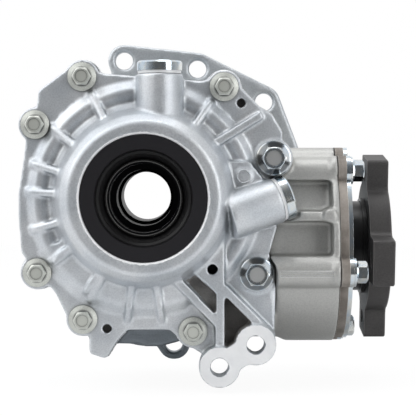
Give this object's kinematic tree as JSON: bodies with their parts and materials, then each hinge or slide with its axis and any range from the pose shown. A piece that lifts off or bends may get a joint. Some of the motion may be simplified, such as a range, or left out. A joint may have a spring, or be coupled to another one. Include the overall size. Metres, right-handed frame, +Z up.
{
  "type": "transfer case",
  "caption": "Bevel-drive transfer case with a hollow through shaft, a ribbed cast cover and a lobed output flange.",
  "frame": {"origin": "centre of the hollow shaft on the gearbox mounting face", "axes": "+Y out of the gearbox face along the hollow shaft, +X towards the output flange, +Z up"},
  "size_m": [0.279, 0.1783, 0.2538],
  "materials": {
    "cover_casting": "as cast, machined faces",
    "case_casting": "as cast",
    "retainer_casting": "rough as cast",
    "zinc_plate": "bright zinc plated",
    "flake_coat": "matte flake coating",
    "bearing_steel": "ground",
    "cage_steel": "pressed",
    "gear_steel": "cut and hardened",
    "shaft_steel": "turned",
    "flange_coat": "satin phosphate",
    "deflector_coat": "gloss black",
    "seal_rubber": "moulded",
    "sealant": "cured bead",
    "gasket_sheet": "pressed sheet",
    "washer_aluminium": "soft washer",
    "spring_steel": "drawn wire"
  },
  "bodies": {
    "housing": {"main_case": "case_casting", "front_cover": "cover_casting", "cover_sealant": "sealant", "cover_bolts_small": "flake_coat", "cover_bolts_large": "zinc_plate", "dowel_pins": "bearing_steel", "filler_plug": "zinc_plate", "filler_washer": "washer_aluminium", "level_plug": "zinc_plate", "level_washer": "washer_aluminium", "cover_oil_seal": "seal_rubber", "cover_seal_spring": "spring_steel", "rear_oil_seal": "seal_rubber", "spigot_o_ring": "seal_rubber", "input_shim": "bearing_steel", "retainer_gasket": "gasket_sheet", "pinion_retainer": "retainer_casting", "seal_plate": "zinc_plate", "retainer_bolts": "zinc_plate", "pinion_oil_seal": "seal_rubber", "input_front_cup": "bearing_steel", "input_rear_cup": "bearing_steel", "pinion_head_cup": "bearing_steel", "pinion_tail_cup": "bearing_steel"},
    "input": {"input_shaft": "shaft_steel", "ring_gear": "gear_steel", "ring_gear_bolts": "flange_coat", "input_front_cone": "bearing_steel", "input_rear_cone": "bearing_steel"},
    "output": {"drive_pinion": "gear_steel", "pinion_depth_shim": "bearing_steel", "pinion_head_cone": "bearing_steel", "pinion_spacer": "bearing_steel", "pinion_tail_cone": "bearing_steel", "output_flange": "flange_coat", "dust_deflector": "deflector_coat", "flange_washer": "zinc_plate", "pinion_nut": "flake_coat"},
    "front_roller_set": {"input_front_rollers": "bearing_steel", "input_front_cage": "cage_steel"},
    "rear_roller_set": {"input_rear_rollers": "bearing_steel", "input_rear_cage": "cage_steel"},
    "head_roller_set": {"pinion_head_rollers": "bearing_steel", "pinion_head_cage": "cage_steel"},
    "tail_roller_set": {"pinion_tail_rollers": "bearing_steel", "pinion_tail_cage": "cage_steel"}
  },
  "joints": [
    {"name": "input_spin", "type": "hinge", "parent": "housing", "child": "input", "pos_m": [0, 0, 0], "axis": [0, 1, 0], "continuous": true},
    {"name": "output_spin", "type": "hinge", "parent": "housing", "child": "output", "pos_m": [0, -0.052, -0.038], "axis": [1, 0, 0], "continuous": true},
    {"name": "front_roller_spin", "type": "hinge", "parent": "housing", "child": "front_roller_set", "pos_m": [0, 0, 0], "axis": [0, 1, 0], "continuous": true},
    {"name": "rear_roller_spin", "type": "hinge", "parent": "housing", "child": "rear_roller_set", "pos_m": [0, 0, 0], "axis": [0, 1, 0], "continuous": true},
    {"name": "head_roller_spin", "type": "hinge", "parent": "housing", "child": "head_roller_set", "pos_m": [0, -0.052, -0.038], "axis": [1, 0, 0], "continuous": true},
    {"name": "tail_roller_spin", "type": "hinge", "parent": "housing", "child": "tail_roller_set", "pos_m": [0, -0.052, -0.038], "axis": [1, 0, 0], "continuous": true}
  ],
  "couplings": [
    {"joint": "output_spin", "follows": "input_spin", "ratio": 2.5333},
    {"joint": "front_roller_spin", "follows": "input_spin", "ratio": 0.4587},
    {"joint": "rear_roller_spin", "follows": "input_spin", "ratio": 0.4587},
    {"joint": "head_roller_spin", "follows": "input_spin", "ratio": 1.1096},
    {"joint": "tail_roller_spin", "follows": "input_spin", "ratio": 1.0701}
  ]
}
